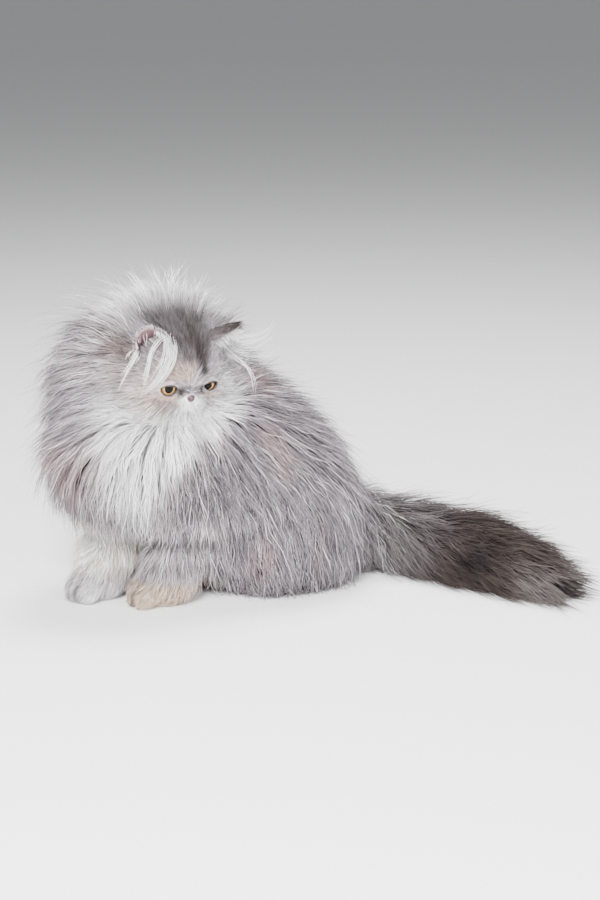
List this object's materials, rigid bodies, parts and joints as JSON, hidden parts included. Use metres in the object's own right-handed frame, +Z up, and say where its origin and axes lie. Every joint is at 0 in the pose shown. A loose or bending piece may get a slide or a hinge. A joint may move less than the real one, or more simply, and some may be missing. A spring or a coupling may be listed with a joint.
{
  "type": "Persian cat, still model",
  "caption": "Life-size model of a long-haired Persian cat sitting low with its forelegs out in front, its head turned to its left and its tail laid out on the floor.",
  "frame": {"origin": "on the floor under the middle of the model's bounding box", "axes": "+X from the front paws towards the tail's tip, +Y to the side away from the picture's camera, +Z up"},
  "size_m": [0.5832, 0.2976, 0.347],
  "materials": {
    "coat": "matte",
    "coat_pale": "matte",
    "ear": "matte",
    "eye": "gloss"
  },
  "bodies": {
    "root": {"head": "coat", "neck": "coat", "chest": "coat_pale", "foreleg_left": "coat_pale", "foreleg_right": "coat_pale", "torso_front": "coat", "torso_rear": "coat", "hindleg_left": "coat", "hindleg_right": "coat", "tail_base": "coat", "tail_middle": "coat", "tail_tip": "coat", "ear_left": "ear", "ear_right": "ear", "eye_left": "eye", "eye_right": "eye"}
  },
  "joints": []
}
